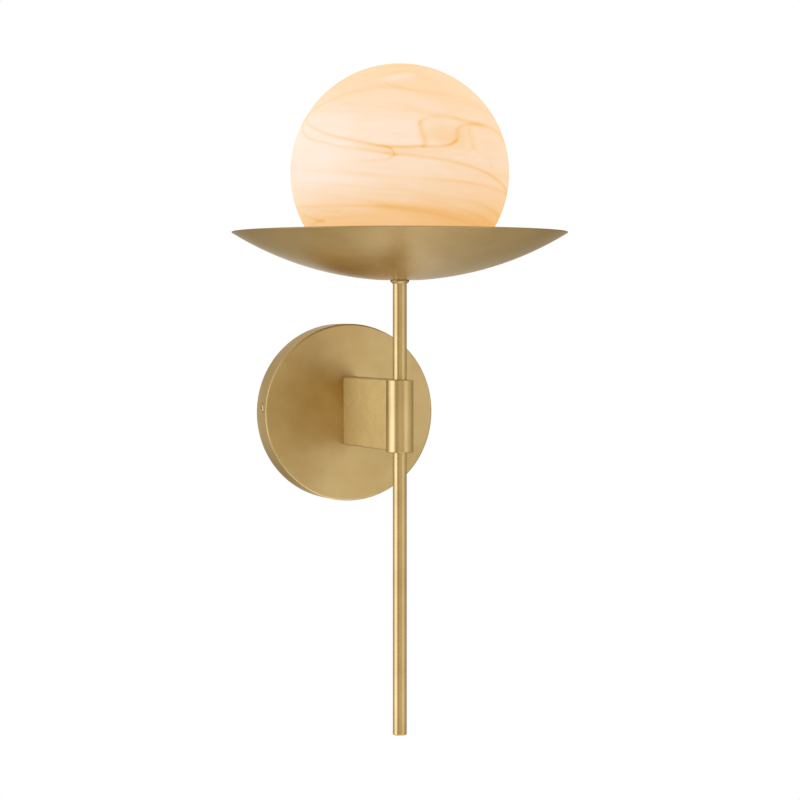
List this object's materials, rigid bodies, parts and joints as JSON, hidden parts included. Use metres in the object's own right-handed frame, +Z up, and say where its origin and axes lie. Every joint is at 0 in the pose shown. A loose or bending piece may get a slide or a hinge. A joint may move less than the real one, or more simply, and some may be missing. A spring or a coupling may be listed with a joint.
{
  "type": "wall light",
  "caption": "Uplighter wall sconce: swirled glass globe resting in a wide shallow brass dish, on a slim vertical stem held off a round wall canopy by a flat arm and collar.",
  "frame": {"origin": "centre of the round canopy on the wall plane, at the back face of the wall bracket", "axes": "+Y into the wall, -Y out to the room, +Z up along the stem, +X to the right seen from the room"},
  "size_m": [0.2286, 0.2335, 0.4577],
  "materials": {
    "satin_brass": "satin, fine brushed, lacquered",
    "plain_brass": "plain machined",
    "zinc_steel": "zinc plated",
    "black_steel": "blackened",
    "white_enamel": "matte white enamel",
    "silicone": "translucent white silicone",
    "swirl_glass": "opal with amber swirls, satin",
    "porcelain": "glazed white",
    "block_plastic": "moulded",
    "bush_plastic": "moulded",
    "lamp_plastic": "moulded",
    "lamp_steel": "bright",
    "lamp_glass": "frosted",
    "lamp_ceramic": "white",
    "phosphor": "moulded phosphor",
    "brown_sleeve": "silicone sleeve",
    "blue_sleeve": "silicone sleeve",
    "green_sleeve": "green and yellow striped sleeve"
  },
  "bodies": {
    "fixture": {"wall_bracket": "zinc_steel", "bracket_earth_screw": "zinc_steel", "bracket_earth_washer": "plain_brass", "terminal_block": "block_plastic", "terminal_clamps": "plain_brass", "clamp_screws": "zinc_steel", "terminal_screws": "zinc_steel", "canopy": "satin_brass", "backing_plate": "zinc_steel", "arm_screws": "zinc_steel", "arm_spring_washers": "zinc_steel", "lead_bush": "bush_plastic", "earth_tag": "zinc_steel", "earth_screw": "zinc_steel", "arm": "satin_brass", "arm_end_block": "plain_brass", "collar": "satin_brass", "collar_set_screws": "black_steel", "stem_upper": "satin_brass", "stem_lower": "satin_brass", "stem_end_plug": "satin_brass", "dish_seat_ring": "satin_brass", "dish": "satin_brass", "globe_gallery": "white_enamel", "gallery_gasket": "silicone", "gallery_lock_washer": "zinc_steel", "stem_nut": "zinc_steel", "lampholder_base": "zinc_steel", "lampholder_body": "porcelain", "lampholder_contacts": "plain_brass", "lampholder_screws": "zinc_steel", "live_lead": "brown_sleeve", "neutral_lead": "blue_sleeve", "earth_lead": "green_sleeve", "lead_ferrules": "plain_brass"},
    "globe": {"globe": "swirl_glass"},
    "lamp": {"lamp_base": "lamp_plastic", "lamp_pins": "lamp_steel", "lamp_board": "lamp_ceramic", "lamp_chips": "phosphor", "lamp_cover": "lamp_glass"},
    "side_screw_left": {"side_screw_left": "satin_brass"},
    "side_screw_right": {"side_screw_right": "satin_brass"}
  },
  "joints": [
    {"name": "globe_lift", "type": "slide", "parent": "fixture", "child": "globe", "axis": [0, 0, 1], "range_m": [0, 0.08]},
    {"name": "lamp_pull", "type": "slide", "parent": "fixture", "child": "lamp", "axis": [0, 0, 1], "range_m": [0, 0.012]},
    {"name": "side_screw_left_out", "type": "slide", "parent": "fixture", "child": "side_screw_left", "axis": [-1, 0, 0], "range_m": [0, 0.008]},
    {"name": "side_screw_right_out", "type": "slide", "parent": "fixture", "child": "side_screw_right", "axis": [1, 0, 0], "range_m": [0, 0.008]}
  ]
}
